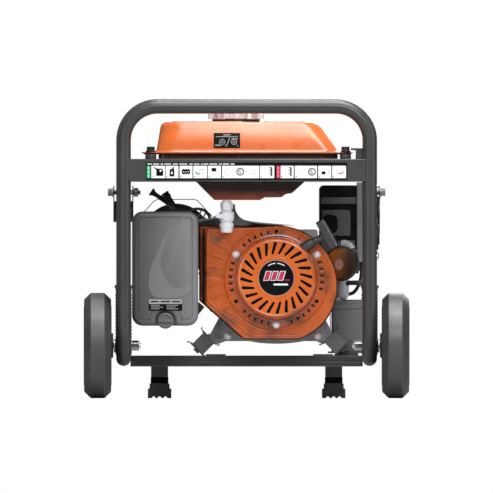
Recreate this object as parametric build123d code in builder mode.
"""Open-frame portable generator with wheels, folding handles and a recoil start.

Frame: +X to the right and +Z up when the recoil starter faces the viewer, who
looks along +Y. The origin is on the ground under the middle of the machine.
All sizes are millimetres.
"""
import os
from math import cos, pi, radians, sin

from build123d import *

os.makedirs("parts", exist_ok=True)

# ---------------------------------------------------------------- frame sizes
tube_r = 12.5            # 25 mm round steel tube
tube_wall = 1.6
upright_x = 209.2        # centreline of each upright
hoop_y = 275.5           # centreline of the two end hoops
hoop_top_z = 496.1
rail_z = 67.2            # centreline of the bottom side rails
bend_r = 57.5            # centreline radius of every tube bend
rail_half = 200.0        # half length of the straight bottom rails
upper_rail_r = 11.0
upper_rail_z = 387.0

# ------------------------------------------------------------- rolling chassis
axle_y = -230.5
wheel_r = 89.5
axle_r = 5.0
wheel_inner_x = 229.5
wheel_outer_x = 277.0
running_gap = 0.06       # radial clearance of a turning fit
body_gap = 0.3           # clearance between pieces that move past each other

pivot_z = 350.0          # folding handle pivots, on the far uprights
handle_y = 304.5

# ------------------------------------------------------------- engine and fuel
crank_x = 50.5
crank_z = 204.3
tilt = radians(25)       # cylinder leans up and left from level
block_near_y = -125.0
block_far_y = -15.0
housing_near_y = -195.0
recoil_face_y = -229.5
flange_z = 416.7         # seam between the two halves of the tank
tank_half_y = 250.0
valve_x = -34.0
valve_y = -214.0

near_bar_y = -70.0       # crossbar under the engine
far_bar_y = 190.0        # crossbar under the alternator, with the feet
bar_top_z = 72.6
bar_low_z = 53.9
mount_spots = ((-73.5, 93.0, 1), (151.0, 94.0, -1))   # x, z, side that leans in
mount_reach = 15.0       # centre of a rubber mount to its outer plate face


def end_plane(y):
    """Vertical plane across the machine at y, drawn in X and Z."""
    return Plane.XZ.offset(-y)


def side_plane(x):
    """Vertical plane along the machine at x, drawn in Y and Z."""
    return Plane.YZ.offset(x)


def rod(start, finish, radius):
    """A plain round bar from one point to another."""
    run = Vector(finish) - Vector(start)
    with BuildPart(mode=Mode.PRIVATE) as bar:
        with BuildSketch(Plane(origin=start, z_dir=run)):
            Circle(radius)
        extrude(amount=run.length)
    return bar.part


def hexagon_rod(start, finish, across_flats):
    """A hexagonal bar from one point to another."""
    run = Vector(finish) - Vector(start)
    with BuildPart(mode=Mode.PRIVATE) as bar:
        with BuildSketch(Plane(origin=start, z_dir=run)):
            RegularPolygon(across_flats / 2, 6, major_radius=False)
        extrude(amount=run.length)
    return bar.part


def box_between(low, high):
    """A rectangular block given by its lowest and highest corners."""
    size = [b - a for a, b in zip(low, high)]
    middle = tuple((a + b) / 2 for a, b in zip(low, high))
    with BuildPart(mode=Mode.PRIVATE) as block:
        with Locations(middle):
            Box(*size)
    return block.part


def bent_bar(points, radius):
    """A round bar along straight runs joined by the standard tube bend."""
    with BuildPart(mode=Mode.PRIVATE) as bar:
        with BuildLine() as run:
            FilletPolyline(*points, radius=bend_r)
        with BuildSketch(Plane(origin=run.line @ 0, z_dir=run.line % 0)):
            Circle(radius)
        sweep()
    return bar.part


def flange_bolt(spot, direction, shank_r, shank_length, head=13.0):
    """Hexagon flange bolt: the head stands on spot, the shank goes behind it."""
    out = Vector(*direction).normalized()
    seat = Vector(*spot)
    washer_top = seat + out * 2.0
    crown = washer_top + out * 7.0
    with BuildPart(mode=Mode.PRIVATE) as bolt:
        add(rod(seat, washer_top, head * 0.72))
        add(hexagon_rod(washer_top, crown, head))
        if shank_length:
            add(rod((seat - out * shank_length), seat, shank_r))
    return bolt.part


# ------------------------------------------------------------------ end hoops
def hoop_points(end):
    """Corner points of one hoop: end is -1 at the recoil side, +1 at the far side."""
    right, left = upright_x, -upright_x
    return [
        (right, end * rail_half, rail_z),
        (right, end * hoop_y, rail_z),
        (right, end * hoop_y, hoop_top_z),
        (left, end * hoop_y, hoop_top_z),
        (left, end * hoop_y, rail_z),
        (left, end * rail_half, rail_z),
    ]


near_hoop_bar = bent_bar(hoop_points(-1), tube_r)
near_hoop_bore = bent_bar(hoop_points(-1), tube_r - tube_wall)
far_hoop_bar = near_hoop_bar.mirror(Plane.XZ)

with BuildPart() as near_hoop:
    add(near_hoop_bar)
    add(near_hoop_bore, mode=Mode.SUBTRACT)

pivot_bolt_r = 4.0
with BuildPart() as far_hoop:
    add(far_hoop_bar)
    add(near_hoop_bore.mirror(Plane.XZ), mode=Mode.SUBTRACT)
    for side in (-1, 1):
        add(rod((side * (upright_x - 20), hoop_y, pivot_z),
                (side * (upright_x + 20), hoop_y, pivot_z), pivot_bolt_r), mode=Mode.SUBTRACT)

# Straight side rails: two at the bottom butt against the hoops, and two at the
# top run from upright to upright and carry the control panel.
hoop_bars = [near_hoop_bar, far_hoop_bar]
rail_bars = [rod((side * upright_x, -rail_half, rail_z),
                 (side * upright_x, rail_half, rail_z), tube_r) for side in (-1, 1)]
upper_rail_bars = [rod((side * upright_x, -hoop_y, upper_rail_z),
                       (side * upright_x, hoop_y, upper_rail_z), upper_rail_r) for side in (-1, 1)]

with BuildPart() as side_rails:
    for side in (-1, 1):
        with BuildSketch(end_plane(rail_half)):
            with Locations((side * upright_x, rail_z)):
                Circle(tube_r)
                Circle(tube_r - tube_wall, mode=Mode.SUBTRACT)
        extrude(amount=2 * rail_half)
        with BuildSketch(end_plane(hoop_y)):
            with Locations((side * upright_x, upper_rail_z)):
                Circle(upper_rail_r)
                Circle(upper_rail_r - tube_wall, mode=Mode.SUBTRACT)
        extrude(amount=2 * hoop_y)
    for bar in hoop_bars:
        add(bar, mode=Mode.SUBTRACT)

# -------------------------------------------------------- folded sheet members
sheet = 2.0
member_low_z = 367.9
member_top_z = 406.8
member_half_x = 202.6
member_face_y = 286.1
shelf_y = 234.0          # inner edge of the shelf that the tank stands on
tank_bolt_x = (-163.0, 168.0)
tank_bolt_y = 242.0
tank_bolt_r = 4.0
tank_bolt_spots = [(x, side * tank_bolt_y) for x in tank_bolt_x for side in (-1, 1)]

with BuildPart() as crossmembers:
    face = -member_face_y
    with BuildSketch(side_plane(-member_half_x)):
        Polygon((face, member_low_z), (face + 14, member_low_z),
                (face + 14, member_low_z + sheet), (face + sheet, member_low_z + sheet),
                (face + sheet, member_top_z - sheet), (-shelf_y, member_top_z - sheet),
                (-shelf_y, member_top_z), (face, member_top_z))
    extrude(amount=2 * member_half_x)
    fillet(crossmembers.edges().filter_by(Axis.X).sort_by(Axis.Y)[:2], 1.5)
    with BuildSketch(Plane.XY.offset(member_top_z)):
        with Locations(*[(x, -tank_bolt_y) for x in tank_bolt_x]):
            Circle(tank_bolt_r)
    extrude(amount=-5, mode=Mode.SUBTRACT)
    mirror(about=Plane.XZ)
    # hooked tab beside the right upright, for the wiring
    add(box_between((185.3, -272, member_top_z), (197.5, -269, 425)))
    add(box_between((177, -272, 421.5), (190, -269, 425)))
    for bar in hoop_bars + upper_rail_bars:
        add(bar, mode=Mode.SUBTRACT)

# ------------------------------------------------------------ bottom crossbars
bar_half_x = 197.5
bar_half_y = 20.0
bar_sheet = 2.5
mount_plate = 2.5
mount_half_y = 18.0
foot_x = 148.0
leg_half = 14.5
leg_low_z = 36.0


def bar_points(y):
    """Rolled channel: a flat cap over a grooved wall on each side."""
    out, groove = bar_half_y, bar_half_y - 4
    right = [(out, bar_top_z), (out, bar_top_z - bar_sheet), (groove, bar_top_z - bar_sheet),
             (groove, 66.0), (out, 66.0), (out, bar_low_z), (out - bar_sheet, bar_low_z),
             (out - bar_sheet, 63.5), (groove - bar_sheet, 63.5),
             (groove - bar_sheet, bar_top_z - bar_sheet)]
    left = [(-along, z) for along, z in reversed(right)]
    return [(y + along, z) for along, z in right + left]


def mount_plate_points(x, z, lean, reach, thick, half):
    """Corners of a plate square to the 45 degree axis of a rubber mount."""
    ux, uz = lean * sin(pi / 4), cos(pi / 4)
    vx, vz = lean * cos(pi / 4), -sin(pi / 4)
    near, far = reach, reach + thick
    return [(x + ux * d + vx * s, z + uz * d + vz * s)
            for d, s in ((near, -half), (near, half), (far, half), (far, -half))]


def mount_face(spot, along):
    """Point on the engine side face of a rubber mount, measured along its plate."""
    x, z, lean = spot
    corners = mount_plate_points(x, z, lean, mount_reach, 0, along)
    return corners[1]


left_foot = [mount_face(mount_spots[0], along) for along in (-2, 17.5)]
right_foot = [mount_face(mount_spots[1], along) for along in (17.5, -8)]

with BuildPart() as bottom_crossbars:
    for y in (near_bar_y, far_bar_y):
        with BuildSketch(side_plane(-bar_half_x)):
            Polygon(*bar_points(y))
        extrude(amount=2 * bar_half_x)
        with BuildSketch(end_plane(y + mount_half_y)):
            for x, z, lean in mount_spots:
                Polygon(*mount_plate_points(x, z, lean, -mount_reach, mount_plate, 16.5))
                with Locations((x + lean * 21, bar_top_z + mount_plate / 2)):
                    Rectangle(34, mount_plate)
        extrude(amount=2 * mount_half_y)
    # tray for the starting battery, welded between the right rail and the near crossbar
    add(box_between((138, -48, 76.6), (206, 110, 79.6)))
    add(box_between((150, -51.7, 72.6), (190, -44, 79.6)))
    for bar in rail_bars + hoop_bars:
        add(bar, mode=Mode.SUBTRACT)
    for side in (-1, 1):
        with BuildSketch(Plane.XY.offset(leg_low_z)):
            with Locations((side * foot_x, far_bar_y)):
                Rectangle(2 * leg_half, 2 * bar_half_y)
                Rectangle(2 * leg_half - 6, 2 * bar_half_y - 6, mode=Mode.SUBTRACT)
        extrude(amount=bar_low_z - leg_low_z)
        add(box_between((side * foot_x - leg_half, far_bar_y - bar_half_y, leg_low_z),
                        (side * foot_x + leg_half, far_bar_y + bar_half_y, leg_low_z + 3)))

with BuildPart() as rubber_feet:
    for side in (-1, 1):
        for half, low, high in ((20.0, 0, 16.5), (17.0, 16.5, 25.0), (leg_half + 0.6, 25.0, leg_low_z)):
            with BuildSketch(Plane.XY.offset(low)):
                with Locations((side * foot_x, far_bar_y)):
                    RectangleRounded(2 * half, 2 * half + 4, 3)
            extrude(amount=high - low)
        with BuildSketch(end_plane(far_bar_y + 24)):
            with Locations(*[(side * foot_x + dx, 0) for dx in (-10, 0, 10)]):
                Circle(3)
        extrude(amount=48, mode=Mode.SUBTRACT)

# ---------------------------------------------------------------------- wheels
bracket_inner_x = 196.5
bracket_outer_x = 223.6
washer_outer_x = 226.1

with BuildPart() as axle_brackets:
    for side in (-1, 1):
        add(rod((side * bracket_inner_x, axle_y, wheel_r), (side * bracket_outer_x, axle_y, wheel_r), 11))
        with BuildSketch(side_plane(side * upright_x - 4)):
            Polygon((axle_y - 34, 104), (axle_y - 8, 98), (axle_y + 8, 98), (axle_y + 22, 76),
                    (axle_y + 10, 70), (axle_y - 20, 74), (axle_y - 38, 92))
        extrude(amount=8)
    add(near_hoop_bar, mode=Mode.SUBTRACT)
    for side in (-1, 1):
        add(rod((side * 190, axle_y, wheel_r), (side * 230, axle_y, wheel_r), axle_r), mode=Mode.SUBTRACT)

with BuildPart() as wheel_axles:
    for side in (-1, 1):
        for near_x, far_x, radius in ((180.0, 264.0, axle_r), (bracket_outer_x, washer_outer_x, 12.0)):
            add(rod((side * near_x, axle_y, wheel_r), (side * far_x, axle_y, wheel_r), radius))
        add(hexagon_rod((side * 183, axle_y, wheel_r), (side * bracket_inner_x, axle_y, wheel_r), 15))
        add(hexagon_rod((side * 258, axle_y, wheel_r), (side * 265, axle_y, wheel_r), 16))

tyre_inner_r = 60.0
wheel_axis = Axis((0, axle_y, wheel_r), (1, 0, 0))


def tyre_points():
    """Half section of the solid tyre: flat tread between bevelled shoulders."""
    shoulder = wheel_r - 10.5
    return [(wheel_inner_x, tyre_inner_r), (wheel_inner_x, shoulder), (wheel_inner_x + 11, wheel_r),
            (wheel_outer_x - 11, wheel_r), (wheel_outer_x, shoulder), (wheel_outer_x, tyre_inner_r)]


def rim_points():
    """Half section of the moulded wheel: bead seat, web and hub tube."""
    bore = axle_r + running_gap
    return [(washer_outer_x + body_gap, bore), (washer_outer_x + body_gap, 21), (244, 23),
            (248, 40), (246, 52), (wheel_inner_x + 3, 54), (wheel_inner_x + 3, tyre_inner_r),
            (wheel_outer_x - 4, tyre_inner_r), (wheel_outer_x - 4, 55), (256, 52),
            (254, 40), (257, 20), (257, bore)]


def turned(side, points, corner=0):
    """A solid of revolution about the wheel axle, from half section points."""
    with BuildPart(mode=Mode.PRIVATE) as piece:
        plane = Plane(origin=(0, axle_y, wheel_r), x_dir=(side, 0, 0), z_dir=(0, -side, 0))
        with BuildSketch(plane) as section:
            Polygon(*points)
            if corner:
                fillet(section.vertices(), corner)
        revolve(axis=wheel_axis)
    return piece.part


with BuildPart() as left_tyre:
    add(turned(-1, tyre_points(), corner=1.5))

with BuildPart() as right_tyre:
    add(turned(1, tyre_points(), corner=1.5))

with BuildPart() as left_rim:
    add(turned(-1, rim_points()))

with BuildPart() as right_rim:
    add(turned(1, rim_points()))

# ------------------------------------------------------------- folding handles
ear_outer_x = 226.6
ear_inner_x = 192.4
ear_sheet = 2.0
handle_tube_r = 11.0
grip_r = 14.0
grip_top_z = 192.4
grip_low_z = 70.0
grip_flange_r = 15.5
tube_low_z = 76.0
plate_low_z = 299.5
plate_top_z = pivot_z - 15       # low enough to pass the crossmember as the handle swings up


def handle(side):
    """Tube welded into a folded bracket whose ears straddle the upright."""
    ear_spans = ((ear_inner_x, ear_inner_x + ear_sheet), (ear_outer_x - ear_sheet, ear_outer_x))
    with BuildPart(mode=Mode.PRIVATE) as arm:
        for low_x, high_x in ear_spans:
            start = min(side * low_x, side * high_x)
            with BuildSketch(side_plane(start)):
                with Locations((hoop_y, pivot_z)):
                    Circle(11.6)
                Polygon((hoop_y - 4.5, pivot_z - 10.6), (hoop_y + 11.6, pivot_z),
                        (hoop_y + 14, pivot_z - 12.5), (handle_y + 11, plate_top_z),
                        (handle_y + 11, plate_low_z), (handle_y - 9, plate_low_z),
                        (handle_y - 11, 322))
            extrude(amount=ear_sheet)
        add(box_between((min(side * ear_inner_x, side * ear_outer_x), handle_y + 9, plate_low_z),
                        (max(side * ear_inner_x, side * ear_outer_x), handle_y + 11, plate_top_z)))
        tube_ends = [(side * upright_x, handle_y, z) for z in (tube_low_z, plate_top_z - 2)]
        add(rod(*tube_ends, handle_tube_r))
        add(rod(*tube_ends, handle_tube_r - tube_wall), mode=Mode.SUBTRACT)
        add(rod((side * 180, hoop_y, pivot_z), (side * 240, hoop_y, pivot_z),
                pivot_bolt_r + running_gap), mode=Mode.SUBTRACT)
    return arm.part


def grip(side):
    """Rubber sleeve with a collar at the top and a closed end."""
    centre = (side * upright_x, handle_y)
    with BuildPart(mode=Mode.PRIVATE) as sleeve:
        with BuildSketch(Plane.XY.offset(grip_low_z)):
            with Locations(centre):
                Circle(grip_r)
        extrude(amount=grip_top_z - grip_low_z)
        fillet(sleeve.edges().sort_by(Axis.Z)[0], 4)
        with BuildSketch(Plane.XY.offset(grip_top_z - 4)):
            with Locations(centre):
                Circle(grip_flange_r)
        extrude(amount=4)
        with BuildSketch(Plane.XY.offset(tube_low_z)):
            with Locations(centre):
                Circle(handle_tube_r)
        extrude(amount=200, mode=Mode.SUBTRACT)
    return sleeve.part


with BuildPart() as left_handle:
    add(handle(-1))

with BuildPart() as right_handle:
    add(handle(1))

with BuildPart() as left_grip:
    add(grip(-1))

with BuildPart() as right_grip:
    add(grip(1))

with BuildPart() as handle_bolts:
    for side in (-1, 1):
        add(flange_bolt((side * (ear_outer_x + body_gap), hoop_y, pivot_z), (side, 0, 0),
                        pivot_bolt_r, 46.5, head=11))
        add(hexagon_rod((side * 184, hoop_y, pivot_z), (side * (ear_inner_x - body_gap), hoop_y, pivot_z), 13))

with BuildPart() as handle_pads:
    for side in (-1, 1):
        with BuildSketch(Plane.XY.offset(plate_low_z)):
            with Locations((side * upright_x, hoop_y)):
                Circle(tube_r + 1.8)
                Circle(tube_r, mode=Mode.SUBTRACT)
        extrude(amount=24.2)

# ------------------------------------------------------------------- fuel tank
skin = 2.0
tank_left = -178.8
tank_right = 181.7
tank_top_z = 469.4
neck_y = -40.0
neck_x = -18.0
dome_foot = (-154, 161, 236)      # left edge, right edge and half length at the seam
dome_crown = (-145, 123, 214)     # the same at the top
basin_half_y = 228


def dome(shrink):
    """Upper half of the tank: upright at the left, a long slope at the right."""
    with BuildPart(mode=Mode.PRIVATE) as shape:
        for level, (left, right, half) in ((flange_z, dome_foot), (tank_top_z - shrink, dome_crown)):
            with BuildSketch(Plane.XY.offset(level)):
                with Locations(((left + right) / 2, 0)):
                    RectangleRounded(right - left - 2 * shrink, 2 * (half - shrink), 30 - shrink)
        loft()
        fillet(shape.faces().sort_by(Axis.Z)[-1].edges(), 11 - shrink)
    return shape.part


with BuildPart() as tank_upper_shell:
    with BuildSketch(Plane.XY.offset(flange_z)):
        with Locations(((tank_left + tank_right) / 2, 0)):
            RectangleRounded(tank_right - tank_left, 2 * tank_half_y, 24)
    extrude(amount=skin)
    add(dome(0))
    add(dome(skin), mode=Mode.SUBTRACT)
    with BuildSketch(Plane.XY.offset(tank_top_z - 8)):
        with Locations((neck_x, neck_y)):
            Circle(22)
    extrude(amount=12, mode=Mode.SUBTRACT)
    with BuildSketch(Plane.XY.offset(flange_z)):
        with Locations(*tank_bolt_spots):
            Circle(tank_bolt_r)
    extrude(amount=skin, mode=Mode.SUBTRACT)

tank_profile = [(-150, flange_z), (-150, 409), (-128, 409), (-86, 367.8), (-53.5, 336.3), (22.6, 336.3),
                (30.8, 340.9), (59.3, 341.4), (66.1, 346.8), (76.8, 348.2), (81, 351.7),
                (98.6, 367.8), (143.5, 409), (154, 409), (154, flange_z)]


def basin(shrink):
    """Lower half of the tank: a hopper that drains to the valve."""
    with BuildPart(mode=Mode.PRIVATE) as shape:
        with BuildSketch(end_plane(basin_half_y - shrink)):
            Polygon(*tank_profile)
            if shrink:
                offset(amount=-shrink, mode=Mode.REPLACE)
                with Locations((0, flange_z - shrink / 2)):
                    Rectangle(290, shrink)
        extrude(amount=2 * (basin_half_y - shrink))
    return shape.part


with BuildPart() as tank_lower_shell:
    add(basin(0))
    chamfer(tank_lower_shell.faces().sort_by(Axis.Y)[0].edges().sort_by(Axis.Z)[0], 8)
    with BuildSketch(Plane.XY.offset(flange_z - skin)):
        with Locations(((tank_left + tank_right) / 2, 0)):
            RectangleRounded(tank_right - tank_left - 6, 2 * tank_half_y - 6, 22)
    extrude(amount=skin)
    add(basin(skin), mode=Mode.SUBTRACT)
    with BuildSketch(Plane.XY.offset(flange_z - skin)):
        with Locations(*tank_bolt_spots):
            Circle(tank_bolt_r)
    extrude(amount=skin, mode=Mode.SUBTRACT)
    with BuildSketch(Plane.XY.offset(330)):
        with Locations((valve_x, valve_y)):
            Circle(5)
    extrude(amount=12, mode=Mode.SUBTRACT)

with BuildPart() as tank_mounts:
    with BuildSketch(Plane.XY.offset(member_top_z)):
        with Locations(*tank_bolt_spots):
            Circle(9.5)
            Circle(tank_bolt_r, mode=Mode.SUBTRACT)
    extrude(amount=flange_z - skin - member_top_z)

with BuildPart() as tank_bolts:
    for x, y in tank_bolt_spots:
        add(flange_bolt((x, y, flange_z + skin), (0, 0, 1), tank_bolt_r - 0.02, 22, head=12))

with BuildPart() as filler_neck:
    with BuildSketch(Plane.XY.offset(tank_top_z)):
        with Locations((neck_x, neck_y)):
            Circle(40.5)
    extrude(amount=5.2)
    with BuildSketch(Plane.XY.offset(tank_top_z - 14)):
        with Locations((neck_x, neck_y)):
            Circle(21.9)
    extrude(amount=14)
    with BuildSketch(Plane.XY.offset(tank_top_z - 14)):
        with Locations((neck_x, neck_y)):
            Circle(19)
    extrude(amount=30, mode=Mode.SUBTRACT)

cap_low_z = 474.9
cap_top_z = 492.0
with BuildPart() as fuel_cap:
    with BuildSketch(Plane.XY.offset(cap_low_z)):
        with Locations((neck_x, neck_y)):
            Circle(39)
    extrude(amount=cap_top_z - cap_low_z)
    fillet(fuel_cap.edges().sort_by(Axis.Z)[-1], 5)
    with BuildSketch(Plane.XY.offset(cap_low_z)):
        for angle in range(0, 360, 60):
            with Locations((neck_x + 38 * cos(radians(angle)), neck_y + 38 * sin(radians(angle)))):
                RectangleRounded(20, 12, 3, rotation=angle)
    extrude(amount=9.4)
    with BuildSketch(Plane.XY.offset(cap_low_z - 8)):
        with Locations((neck_x, neck_y)):
            Circle(18.6)
    extrude(amount=8)

with BuildPart() as fuel_valve:
    for radius, low, high in ((8.0, 333.0, 336.3), (12.0, 290.0, 299.0), (10.6, 281.0, 290.0)):
        add(rod((valve_x, valve_y, low), (valve_x, valve_y, high), radius))
    add(hexagon_rod((valve_x, valve_y, 321.5), (valve_x, valve_y, 333), 19))
    add(rod((valve_x, valve_y, 319), (valve_x, valve_y, 322), 8.5))
    with BuildSketch(Plane.XY.offset(299)):
        with Locations((valve_x, valve_y)):
            RectangleRounded(26.5, 24, 5)
    extrude(amount=21)
    add(rod((valve_x, valve_y, 310), (valve_x, valve_y + 19, 310), 4))

with BuildPart() as fuel_valve_lever:
    with BuildSketch(end_plane(valve_y - 12.3)):
        with Locations((valve_x, 309.5)):
            Circle(7.5)
        with Locations((valve_x - 9, 309.5)):
            RectangleRounded(18, 7, 3)
    extrude(amount=5)

# ---------------------------------------------------------------------- engine
axis_x, axis_z = -cos(tilt), sin(tilt)      # along the cylinder, away from the crank
up_x, up_z = sin(tilt), cos(tilt)           # square to it, upwards
block_mid_y = (block_near_y + block_far_y) / 2
cylinder_bore_r = 35.0
crank_bore_r = 12.5
wall = 6.0


def cylinder_plane(reach):
    """Plane square to the cylinder at a distance from the crankshaft."""
    return Plane(origin=(crank_x + axis_x * reach, block_mid_y, crank_z + axis_z * reach),
                 x_dir=(0, 1, 0), z_dir=(axis_x, 0, axis_z))


def on_cylinder(reach, across):
    """Point in X and Z at a reach along the cylinder and a height square to it."""
    return (crank_x + axis_x * reach + up_x * across, crank_z + axis_z * reach + up_z * across)


mount_half_width = mount_half_y + 2
with BuildPart() as cylinder_block:
    with BuildSketch(end_plane(block_far_y)):
        Polygon((-44, 97), (134, 97), (134, 112), (121, 150), (121, 287), (20, 287),
                (-36, 262), (-54, 222), (-40, 160))
    extrude(amount=block_far_y - block_near_y)
    fillet(cylinder_block.edges().filter_by(Axis.Y), 5)
    with BuildSketch(end_plane(near_bar_y + mount_half_width)):
        Polygon(*left_foot, (-30, 99), (-40, 150))
        Polygon(*right_foot, (121, 160), (115, 99))
    extrude(amount=2 * mount_half_width)
    with BuildSketch(cylinder_plane(70)):
        Circle(43)
    extrude(amount=58)
    for reach in range(76, 126, 9):
        with BuildSketch(cylinder_plane(reach)):
            RectangleRounded(100, 100, 10)
        extrude(amount=2.6)
    with BuildSketch(end_plane(block_far_y - wall)):
        with Locations((40, 190)):
            RectangleRounded(136, 150, 20)
    extrude(amount=block_far_y - block_near_y - 2 * wall, mode=Mode.SUBTRACT)
    with BuildSketch(cylinder_plane(20)):
        Circle(cylinder_bore_r)
    extrude(amount=120, mode=Mode.SUBTRACT)
    add(rod((crank_x, block_near_y - 5, crank_z), (crank_x, block_far_y + 5, crank_z),
            crank_bore_r + running_gap), mode=Mode.SUBTRACT)

head_reach = 128.0
with BuildPart() as cylinder_head:
    with BuildSketch(cylinder_plane(head_reach)):
        RectangleRounded(92, 84, 10)
    extrude(amount=44)
    for step in range(5):
        with BuildSketch(cylinder_plane(head_reach + 1 + step * 8.5)):
            RectangleRounded(108, 103.6, 10)
        extrude(amount=2.6)
    with BuildSketch(cylinder_plane(head_reach)):
        Circle(cylinder_bore_r)
    extrude(amount=9, mode=Mode.SUBTRACT)
    port_x, port_z = on_cylinder(162, -4)
    for side in (-1, 1):
        add(rod((port_x, block_mid_y + side * 41, port_z), (port_x, block_mid_y + side * 54, port_z), 15))
        add(rod((port_x, block_mid_y + side * 20, port_z), (port_x, block_mid_y + side * 60, port_z), 11),
            mode=Mode.SUBTRACT)

with BuildPart() as valve_cover:
    with BuildSketch(cylinder_plane(head_reach + 44)):
        RectangleRounded(80, 70, 14)
    extrude(amount=26)
    fillet(valve_cover.faces().sort_by(Axis((0, 0, 0), (axis_x, 0, axis_z)))[-1].edges(), 6)

with BuildPart() as piston:
    with BuildSketch(cylinder_plane(84)):
        Circle(cylinder_bore_r - 0.05)
        Circle(cylinder_bore_r - 6, mode=Mode.SUBTRACT)
    extrude(amount=42)
    with BuildSketch(cylinder_plane(119)):
        Circle(cylinder_bore_r - 3)
    extrude(amount=7)

# Spark plug cap: a long boot with a flared lip beside a short banded collar.
with BuildPart() as spark_plug_cap:
    cap_y = -144.0
    add(rod((-98, cap_y, 307), (-159, cap_y, 349), 4.2))
    add(rod((-156, cap_y, 347), (-162.5, cap_y, 351.4), 6.2))
    add(rod((-112, cap_y + 4, 306), (-139.5, cap_y + 4, 349), 5.6))
    add(rod((-136, cap_y + 4, 343.5), (-140.5, cap_y + 4, 350.5), 7.0))
    with BuildSketch(end_plane(cap_y + 12)):
        Polygon((-142, 302), (-126, 322), (-104, 322), (-86, 300), (-98, 293))
    extrude(amount=20)
    fillet(spark_plug_cap.edges().filter_by(Axis.Y).sort_by(Axis.Z)[:2], 3)

crank_throw = 20.0
web_spans = ((-102.0, -89.0), (-54.0, -41.0))    # the two crank webs, along the shaft
with BuildPart() as crankshaft:
    add(rod((crank_x, -206, crank_z), (crank_x, web_spans[0][1], crank_z), crank_bore_r))
    add(rod((crank_x, web_spans[1][0], crank_z), (crank_x, 164, crank_z), crank_bore_r))
    add(rod((crank_x, 164, crank_z), (crank_x, 206, crank_z), 10))
    for near_y, far_y in web_spans:
        add(rod((crank_x, near_y, crank_z), (crank_x, far_y, crank_z), 34))
    pin_x, pin_z = crank_x + axis_x * crank_throw, crank_z + axis_z * crank_throw
    add(rod((pin_x, web_spans[0][1], pin_z), (pin_x, web_spans[1][0], pin_z), 13))

with BuildPart() as flywheel:
    add(rod((crank_x, -178, crank_z), (crank_x, -148, crank_z), 80))
    add(rod((crank_x, -205, crank_z), (crank_x, -178, crank_z), 38))
    with BuildSketch(end_plane(-178)):
        with Locations((crank_x, crank_z)):
            with PolarLocations(60, 14):
                Rectangle(34, 3.5, rotation=24)
    extrude(amount=13)
    add(rod((crank_x, -206, crank_z), (crank_x, -147, crank_z), crank_bore_r), mode=Mode.SUBTRACT)


def housing_outline(left, top, diagonal):
    """Volute of the fan housing: it opens clockwise and leaves to the left."""
    with BuildSketch(mode=Mode.PRIVATE) as shape:
        with BuildLine():
            ThreePointArc((crank_x, 292.5), (128.7, 256), (152.7, 200))
            ThreePointArc((152.7, 200), (136.5, 137), (88, 101.3))
            Polyline((88, 101.3), (-5, 101.3), *diagonal, (left, top), (left + 24, top), (crank_x, 292.5))
        make_face()
    return shape.sketch


lip_path = ((-12.9, 107.4), (-79.6, 166.6))
face_path = ((-9, 105.5), (-70, 159.5))
housing_step_y = -158.0      # the wider rear lip starts here
with BuildPart() as blower_housing:
    with BuildSketch(end_plane(housing_step_y)):
        add(housing_outline(-70, 287, face_path))
    extrude(amount=housing_step_y - housing_near_y)
    fillet(blower_housing.faces().sort_by(Axis.Y)[0].edges(), 3)
    with BuildSketch(end_plane(block_near_y)):
        add(housing_outline(-79.6, 292.5, lip_path))
    extrude(amount=block_near_y - housing_step_y)
    with BuildSketch(end_plane(block_near_y)):
        add(housing_outline(-68, 285, ((-8.5, 106.5), (-68, 160.5))))
        offset(amount=-1.6, mode=Mode.REPLACE)
    extrude(amount=block_near_y - housing_near_y - 2, mode=Mode.SUBTRACT)
    with BuildSketch(end_plane(housing_near_y + 5)):
        with Locations((crank_x, crank_z)):
            Circle(70)
    extrude(amount=20, mode=Mode.SUBTRACT)

# Grey air guide over the fan housing, with a horn that rises beside the valve.
with BuildPart() as top_baffle:
    with BuildSketch(end_plane(-128)):
        with BuildLine():
            Polyline((-81, 293.5), (-81, 303.5), (-64, 306), (-40, 309), (-22, 330.5), (-19.5, 329))
            ThreePointArc((-19.5, 329), (-15, 312), (-3, 303))
            Polyline((-3, 303), (6, 301), (33, 298), (84.5, 293.5), close=False)
            Line((84.5, 293.5), (-81, 293.5))
        make_face()
    extrude(amount=3)
    with BuildSketch(end_plane(-131)):
        Polygon((-81, 301), (-81, 303.5), (-64, 306), (-50, 307.7), (-50, 305.2), (-64, 303.5))
        Polygon((6, 301), (33, 298), (84.5, 293.5), (60, 293.5), (33, 295.5), (6, 298.5))
    extrude(amount=52)

# ---------------------------------------------------------------- recoil start
crank_axis = Axis((crank_x, 0, crank_z), (0, 1, 0))
crank_section = Plane(origin=(crank_x, 0, crank_z), x_dir=(1, 0, 0), z_dir=(0, 0, 1))
cover_bolt_r = 79.2
rope_exit = (106.0, 261.0)
pull_x, pull_z = 0.871, 0.491
rope_y = -220.0


def on_rope(reach):
    """Point on the line of the starting rope, measured out from its exit."""
    return (rope_exit[0] + pull_x * reach, rope_y, rope_exit[1] + pull_z * reach)


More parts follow.
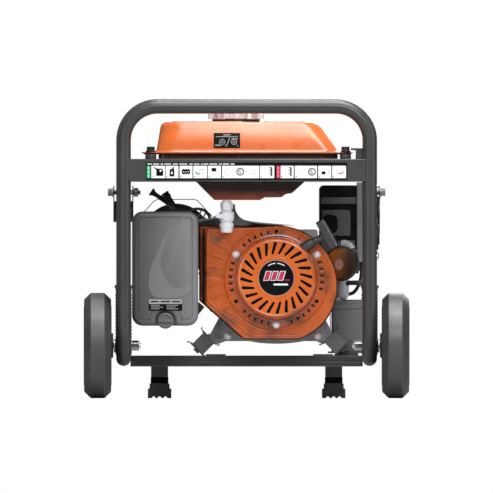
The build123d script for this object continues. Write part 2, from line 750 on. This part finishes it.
with BuildPart() as recoil_cover:
    with BuildSketch(crank_section):
        Polygon((0, recoil_face_y), (66.5, recoil_face_y), (68, -226), (69.5, -219), (70.5, -202),
                (72, -198), (88, -198), (88, housing_near_y), (68.3, housing_near_y),
                (67.3, -217), (65, -225), (63.5, -227.3), (0, -227.3))
    revolve(axis=crank_axis)
    with BuildSketch(end_plane(-226)):
        with Locations((crank_x, crank_z)):
            with PolarLocations(51, 24, start_angle=4.4):
                SlotOverall(22, 5.6, rotation=-20)
    extrude(amount=6, mode=Mode.SUBTRACT)
    with BuildSketch(end_plane(housing_near_y)):
        with Locations((crank_x, crank_z)):
            with PolarLocations(cover_bolt_r, 6, start_angle=30):
                Circle(3.1)
    extrude(amount=5, mode=Mode.SUBTRACT)
    add(rod(on_rope(-10), on_rope(5), 8.5))
    add(rod(on_rope(-14), on_rope(6), 3), mode=Mode.SUBTRACT)

with BuildPart() as recoil_pulley:
    add(rod((crank_x, -223, crank_z), (crank_x, -208, crank_z), 50))
    with BuildSketch(crank_section):
        with Locations((49, -215.5)):
            Rectangle(10, 8)
    revolve(axis=crank_axis, mode=Mode.SUBTRACT)
    add(rod((crank_x, -224, crank_z), (crank_x, -207, crank_z), 5), mode=Mode.SUBTRACT)

bar_centre = (137.0, 279.0)
with BuildPart() as recoil_handle:
    handle_plane = Plane(origin=(bar_centre[0], rope_y, bar_centre[1]), x_dir=(pull_z, 0, -pull_x),
                         z_dir=(pull_x, 0, pull_z))
    with BuildSketch(handle_plane.offset(-8)):
        RectangleRounded(53, 17, 7)
    extrude(amount=16)
    fillet(recoil_handle.edges().filter_by(GeomType.LINE).filter_by(
        Axis((0, 0, 0), (pull_z, 0, -pull_x))), 3)
    add(rod(on_rope(5.4), (bar_centre[0], rope_y, bar_centre[1]), 6.5))

with BuildPart() as housing_bolts:
    for angle in (30, 150, 270):
        spot = (crank_x + cover_bolt_r * cos(radians(angle)), -198.0,
                crank_z + cover_bolt_r * sin(radians(angle)))
        add(flange_bolt(spot, (0, -1, 0), 3.05, 3, head=9))
    for x, z in ((-31.8, 105.9), (120.9, 105.9)):
        add(flange_bolt((x, block_near_y, z), (0, -1, 0), 3, 0, head=10))

starter_x, starter_z = 160.5, 229.0
with BuildPart() as starter_motor:
    add(rod((starter_x, -116, starter_z), (starter_x, -26, starter_z), 30))
    add(rod((starter_x, -123, starter_z), (starter_x, -116, starter_z), 21))
    fillet(starter_motor.edges().filter_by(GeomType.CIRCLE).sort_by(Axis.Y)[:3], 3)
    add(box_between((121, -100, 212), (138, -40, 246)))

# ---------------------------------------------------------- air, fuel, exhaust
carb_x, carb_z = -103.0, port_z
cleaner_left, cleaner_right = -194.8, -82.3
cleaner_low, cleaner_high = 123.1, 317.6
cleaner_mid = ((cleaner_left + cleaner_right) / 2, (cleaner_low + cleaner_high) / 2)
cleaner_size = (cleaner_right - cleaner_left, cleaner_high - cleaner_low)
cover_near_y, cover_far_y, base_far_y = -250.0, -208.0, -184.0
knob_x, knob_z = -138.0, 132.0

with BuildPart() as air_cleaner_cover:
    with BuildSketch(end_plane(cover_far_y)):
        with Locations(cleaner_mid):
            RectangleRounded(*cleaner_size, 18)
    extrude(amount=cover_far_y - cover_near_y)
    fillet(air_cleaner_cover.faces().sort_by(Axis.Y)[0].edges(), 7)
    with BuildSketch(end_plane(cover_far_y)):
        with Locations(cleaner_mid):
            RectangleRounded(cleaner_size[0] - 5, cleaner_size[1] - 5, 15.5)
    extrude(amount=cover_far_y - cover_near_y - 16, mode=Mode.SUBTRACT)
    with BuildSketch(end_plane(cover_near_y + 12)):
        with Locations((knob_x, knob_z)):
            Circle(16)
        with Locations((knob_x, knob_z - 16)):
            Rectangle(32, 32)
    extrude(amount=20, mode=Mode.SUBTRACT)

with BuildPart() as air_cleaner_knob:
    add(rod((knob_x, cover_near_y - 1, knob_z), (knob_x, cover_near_y + 11.7, knob_z), 14))
    with BuildSketch(end_plane(cover_near_y + 2)):
        with Locations((knob_x - 7.5, knob_z), (knob_x + 7.5, knob_z)):
            RectangleRounded(9, 22, 3)
    extrude(amount=4, mode=Mode.SUBTRACT)

with BuildPart() as air_cleaner_base:
    with BuildSketch(end_plane(base_far_y)):
        with Locations(cleaner_mid):
            RectangleRounded(cleaner_size[0] - 6, cleaner_size[1] - 6, 15)
    extrude(amount=base_far_y - cover_far_y)
    with BuildSketch(end_plane(base_far_y)):
        Polygon((-100, 170), (-80.6, 163), (-71.3, 155), (-82, 142), (-100, 138))
    extrude(amount=8)
    with BuildSketch(end_plane(base_far_y - 4)):
        with Locations(cleaner_mid):
            RectangleRounded(cleaner_size[0] - 12, cleaner_size[1] - 12, 12)
    extrude(amount=30, mode=Mode.SUBTRACT)
    add(rod((carb_x, base_far_y - 5, carb_z), (carb_x, base_far_y + 1, carb_z), 13), mode=Mode.SUBTRACT)

with BuildPart() as air_filter:
    with BuildSketch(end_plane(base_far_y - 8)):
        with Locations((cleaner_mid[0], cleaner_mid[1] + 12)):
            RectangleRounded(88, 140, 12)
            RectangleRounded(60, 112, 6, mode=Mode.SUBTRACT)
    extrude(amount=36)

carb_far_y = block_mid_y - 54
with BuildPart() as carburetor:
    add(rod((carb_x, base_far_y, carb_z), (carb_x, carb_far_y - 6, carb_z), 17))
    add(box_between((carb_x - 20, carb_far_y - 6, carb_z - 22), (carb_x + 20, carb_far_y, carb_z + 20)))
    add(rod((carb_x, -158, carb_z - 52), (carb_x, -158, carb_z - 10), 19))
    add(box_between((carb_x - 20, -176, carb_z - 16), (carb_x + 19, -140, carb_z + 18)))
    add(rod((carb_x, base_far_y - 1, carb_z), (carb_x, carb_far_y + 1, carb_z), 11), mode=Mode.SUBTRACT)

choke_x = carb_x - 20 - body_gap
with BuildPart() as choke_lever:
    with BuildSketch(side_plane(choke_x - 4)):
        with Locations((-164, carb_z + 6)):
            Circle(6)
        with Locations((-164, carb_z - 10)):
            RectangleRounded(7, 34, 3)
    extrude(amount=4)

muffler_x, muffler_z, muffler_r = -120.0, 272.0, 59.0
muffler_near_y, muffler_far_y = 6.0, 196.0
with BuildPart() as muffler:
    add(rod((muffler_x, muffler_near_y, muffler_z), (muffler_x, muffler_far_y, muffler_z), muffler_r - 2))
    for y in (muffler_near_y, muffler_far_y - 5):
        add(rod((muffler_x, y, muffler_z), (muffler_x, y + 5, muffler_z), muffler_r))
    add(rod((port_x, block_mid_y + 54, port_z), (port_x, muffler_near_y + 1, port_z), 14))
    add(box_between((port_x - 24, block_mid_y + 54, port_z - 22), (port_x + 24, block_mid_y + 60, port_z + 22)))
    add(rod((muffler_x - 20, muffler_far_y - 1, muffler_z - 20),
            (muffler_x - 20, muffler_far_y + 26, muffler_z - 20), 12))
    add(rod((muffler_x - 20, muffler_far_y + 1, muffler_z - 20),
            (muffler_x - 20, muffler_far_y + 30, muffler_z - 20), 10.5), mode=Mode.SUBTRACT)

shield_path = [(-187, 226), (-187, 304), (-173, 318), (-158, 334.5), (-151, 338), (-89, 338),
               (-83, 335.5), (-69, 320), (-57, 307.5)]
with BuildPart() as muffler_shield:
    with BuildSketch(end_plane(202)):
        with BuildLine():
            spine = Polyline(*shield_path)
            offset(amount=0.7, side=Side.BOTH)
        make_face()
    extrude(amount=198)

dipstick_root = (-42.0, -40.0, 150.0)
dipstick_dir = (-0.866, 0.0, 0.5)
with BuildPart() as oil_dipstick:
    base = Vector(*dipstick_root) + Vector(*dipstick_dir) * 6
    add(rod(base, (base + Vector(*dipstick_dir) * 12), 12))
    add(rod((base + Vector(*dipstick_dir) * 12),
            (base + Vector(*dipstick_dir) * 20), 8))

# ------------------------------------------------------------------ alternator
stator_r = 73.0
rotor_r = 45.3
bell_r = 75.0
with BuildPart() as alternator_frame:
    add(rod((crank_x, block_far_y, crank_z), (crank_x, 34, crank_z), bell_r))
    add(rod((crank_x, 34, crank_z), (crank_x, 160, crank_z), stator_r))
    add(rod((crank_x, -9, crank_z), (crank_x, 30, crank_z), 68), mode=Mode.SUBTRACT)
    add(rod((crank_x, -20, crank_z), (crank_x, 170, crank_z), 46), mode=Mode.SUBTRACT)

with BuildPart() as alternator_rotor:
    add(rod((crank_x, 24, crank_z), (crank_x, 148, crank_z), rotor_r))
    add(rod((crank_x, -4, crank_z), (crank_x, 4, crank_z), 64))
    add(rod((crank_x, 4, crank_z), (crank_x, 24, crank_z), 24))
    with BuildSketch(end_plane(24)):
        with Locations((crank_x, crank_z)):
            with PolarLocations(52, 12):
                Rectangle(22, 3)
    extrude(amount=20)
    add(rod((crank_x, -10, crank_z), (crank_x, 155, crank_z), crank_bore_r), mode=Mode.SUBTRACT)

cover_end_y = 226.0
with BuildPart() as alternator_end_cover:
    add(rod((crank_x, 160, crank_z), (crank_x, cover_end_y, crank_z), bell_r))
    fillet(alternator_end_cover.edges().filter_by(GeomType.CIRCLE).sort_by(Axis.Y)[-1], 10)
    with BuildSketch(end_plane(far_bar_y + mount_half_width)):
        Polygon(*left_foot, (-30, 103), (110, 103), *right_foot, (112, 150), (-10, 150))
    extrude(amount=2 * mount_half_width)
    add(rod((crank_x, 159, crank_z), (crank_x, cover_end_y - 6, crank_z), 68), mode=Mode.SUBTRACT)
    add(rod((crank_x, 194, crank_z), (crank_x, cover_end_y, crank_z), 16))
    add(rod((crank_x, 193, crank_z), (crank_x, 206 + body_gap, crank_z), 10 + running_gap),
        mode=Mode.SUBTRACT)
    with BuildSketch(end_plane(cover_end_y + 1)):
        with Locations((crank_x, crank_z)):
            for radius, count in ((28, 12), (44, 16), (58, 20)):
                with PolarLocations(radius, count):
                    SlotOverall(10, 4)
    extrude(amount=9, mode=Mode.SUBTRACT)

# -------------------------------------------------------------- rubber mounts
with BuildPart() as engine_mounts:
    for y in (near_bar_y, far_bar_y):
        with BuildSketch(end_plane(y + mount_half_y)):
            for x, z, lean in mount_spots:
                Polygon(*mount_plate_points(x, z, lean, mount_plate - mount_reach,
                        2 * mount_reach - 2 * mount_plate, 13.0))
                Polygon(*mount_plate_points(x, z, lean, mount_reach - mount_plate,
                        mount_plate, 16.5))
        extrude(amount=2 * mount_half_y)

# ---------------------------------------------------------------- control side
panel_x = 220.2
panel_skin = 1.5
panel_near_y, panel_far_y = -14.0, 214.0
panel_low_z, panel_high_z = 231.0, 367.0
box_left = 123.0
box_depth = 84.0
box_mid = ((panel_near_y + panel_far_y) / 2, 298.5)
box_size = (panel_far_y - panel_near_y - 8, 127.0)
button_r = 4.5
switch_y, switch_z = 14.0, 330.0
near_button = (66.0, 242.0)      # y, z of the two circuit breakers
far_button = (122.0, 242.0)

with BuildPart() as panel_face:
    add(box_between((panel_x, panel_near_y, panel_low_z), (panel_x + panel_skin, panel_far_y, 391)))
    for y in (panel_near_y, panel_far_y - panel_skin):
        add(box_between((187, y, panel_low_z), (panel_x, y + panel_skin, panel_high_z)))
    add(box_between((187, panel_near_y, panel_low_z),
                    (panel_x, panel_far_y, panel_low_z + panel_skin)))
    for y, z in (near_button, far_button):
        add(rod((panel_x - 1, y, z), (panel_x + 3, y, z), button_r + body_gap), mode=Mode.SUBTRACT)
    with BuildSketch(side_plane(panel_x - 1)):
        with Locations((switch_y, switch_z)):
            Rectangle(23, 30)
    extrude(amount=4, mode=Mode.SUBTRACT)

with BuildPart() as panel_box:
    with BuildSketch(side_plane(box_left)):
        with Locations(box_mid):
            RectangleRounded(*box_size, 8)
    extrude(amount=box_depth)
    with BuildSketch(side_plane(box_left + 3)):
        with Locations(box_mid):
            RectangleRounded(box_size[0] - 6, box_size[1] - 6, 5)
    extrude(amount=90, mode=Mode.SUBTRACT)

face_x = panel_x + panel_skin
outlet_spots = ((66.0, 294.0), (122.0, 294.0))
round_outlet = (178.0, 302.0)
with BuildPart() as panel_outlets:
    for y, z in outlet_spots:
        with BuildSketch(side_plane(face_x)):
            with Locations((y, z)):
                RectangleRounded(46, 84, 6)
        extrude(amount=2.5)
        with BuildSketch(side_plane(face_x + 2.5)):
            with Locations((y, z + 19), (y, z - 19)):
                RectangleRounded(30, 28, 10)
        extrude(amount=2)
    add(rod((face_x, *round_outlet), (face_x + 5, *round_outlet), 25))

with BuildPart() as engine_switch:
    with BuildSketch(end_plane(switch_y + 11)):
        Polygon((face_x - 2, switch_z - 13.5), (face_x + 1.2, switch_z - 14), (face_x + 2.4, switch_z),
                (face_x + 6.4, switch_z + 13), (face_x - 2, switch_z + 12), (face_x - 7, switch_z))
    extrude(amount=22)
    add(rod((panel_x + 0.5, switch_y - 11.4, switch_z), (panel_x + 0.5, switch_y + 11.4, switch_z), 2))


def breaker(y, z):
    """Push button of a circuit breaker, flush when it is set."""
    with BuildPart(mode=Mode.PRIVATE) as button:
        add(rod((face_x - 6, y, z), (face_x + 3.4, y, z), button_r))
    return button.part


with BuildPart() as near_breaker_button:
    add(breaker(*near_button))

with BuildPart() as far_breaker_button:
    add(breaker(*far_button))

battery_top_z = 166.0
with BuildPart() as battery:
    add(box_between((144, -44, 79.6), (199, 106, 160)))
    fillet(battery.edges().filter_by(Axis.Z), 4)
    add(box_between((146, -42, 160), (197, 104, battery_top_z)))
    for y in (-28, 90):
        add(box_between((150, y - 6, battery_top_z), (162, y + 6, 169)))

# ---------------------------------------------------------------------- export
pieces = {
    "near_hoop": near_hoop, "far_hoop": far_hoop, "side_rails": side_rails,
    "crossmembers": crossmembers, "bottom_crossbars": bottom_crossbars, "rubber_feet": rubber_feet,
    "axle_brackets": axle_brackets, "wheel_axles": wheel_axles,
    "left_tyre": left_tyre, "left_rim": left_rim, "right_tyre": right_tyre, "right_rim": right_rim,
    "left_handle": left_handle, "left_grip": left_grip,
    "right_handle": right_handle, "right_grip": right_grip,
    "handle_bolts": handle_bolts, "handle_pads": handle_pads,
    "tank_upper_shell": tank_upper_shell, "tank_lower_shell": tank_lower_shell,
    "tank_mounts": tank_mounts, "tank_bolts": tank_bolts, "filler_neck": filler_neck,
    "fuel_cap": fuel_cap, "fuel_valve": fuel_valve, "fuel_valve_lever": fuel_valve_lever,
    "cylinder_block": cylinder_block, "cylinder_head": cylinder_head, "valve_cover": valve_cover,
    "piston": piston, "spark_plug_cap": spark_plug_cap, "crankshaft": crankshaft,
    "flywheel": flywheel, "blower_housing": blower_housing, "top_baffle": top_baffle,
    "recoil_cover": recoil_cover, "recoil_pulley": recoil_pulley, "recoil_handle": recoil_handle,
    "housing_bolts": housing_bolts, "starter_motor": starter_motor, "carburetor": carburetor,
    "choke_lever": choke_lever, "air_cleaner_base": air_cleaner_base,
    "air_cleaner_cover": air_cleaner_cover, "air_cleaner_knob": air_cleaner_knob,
    "air_filter": air_filter, "muffler": muffler, "muffler_shield": muffler_shield,
    "oil_dipstick": oil_dipstick, "alternator_frame": alternator_frame,
    "alternator_rotor": alternator_rotor, "alternator_end_cover": alternator_end_cover,
    "engine_mounts": engine_mounts, "panel_face": panel_face, "panel_box": panel_box,
    "panel_outlets": panel_outlets, "engine_switch": engine_switch,
    "near_breaker_button": near_breaker_button, "far_breaker_button": far_breaker_button,
    "battery": battery,
}
for label, piece in pieces.items():
    piece.part.label = label
    export_step(piece.part, f"parts/{label}.step")
